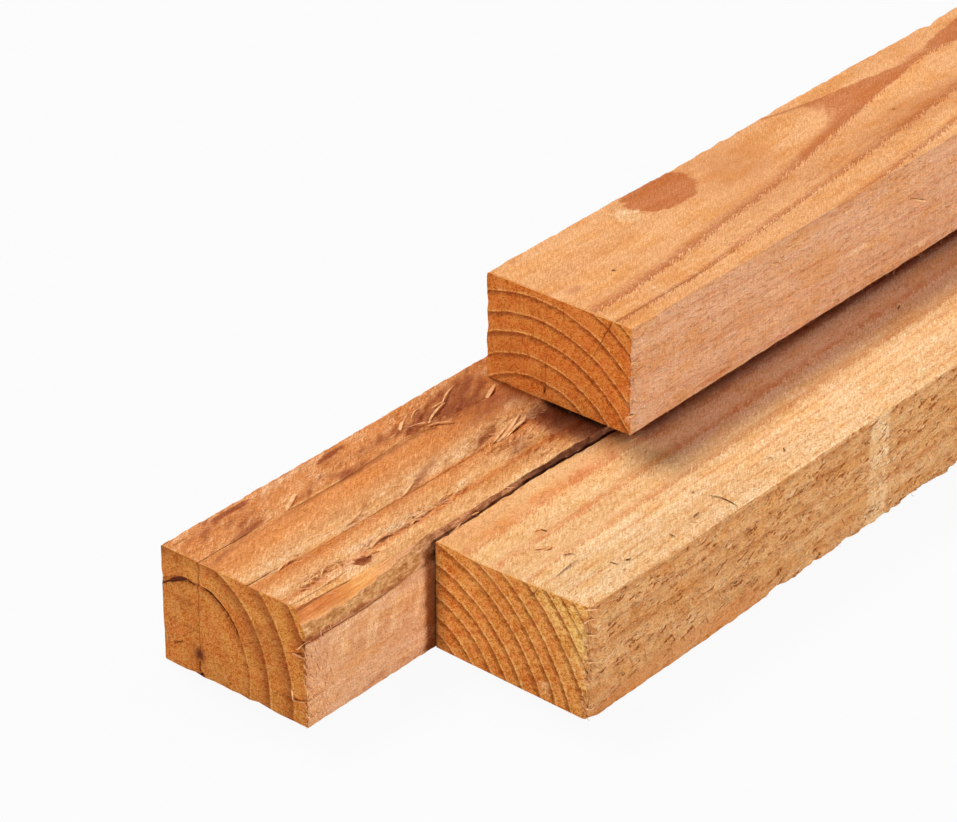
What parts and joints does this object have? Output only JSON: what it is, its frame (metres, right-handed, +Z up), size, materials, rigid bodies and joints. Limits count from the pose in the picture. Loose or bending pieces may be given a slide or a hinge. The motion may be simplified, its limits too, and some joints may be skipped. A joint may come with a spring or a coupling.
{
  "type": "stack of timber battens",
  "caption": "Small stack of rough-sawn softwood battens: two lie side by side and one rests across their joint, with a waney edge, ring shake and drying checks.",
  "frame": {"origin": "on the ground under the middle of the stack's bounding box", "axes": "+Y along the battens, away from the front ends that carry the ring shake and checks; +X across the stack to the right when facing along +Y; +Z up"},
  "size_m": [0.1412, 1.967, 0.0925],
  "materials": {
    "left_batten": "rough sawn, raw",
    "right_batten": "rough sawn, raw",
    "top_batten": "rough sawn, raw"
  },
  "bodies": {
    "root": {"left_batten": "left_batten", "right_batten": "right_batten", "top_batten": "top_batten"}
  },
  "joints": []
}
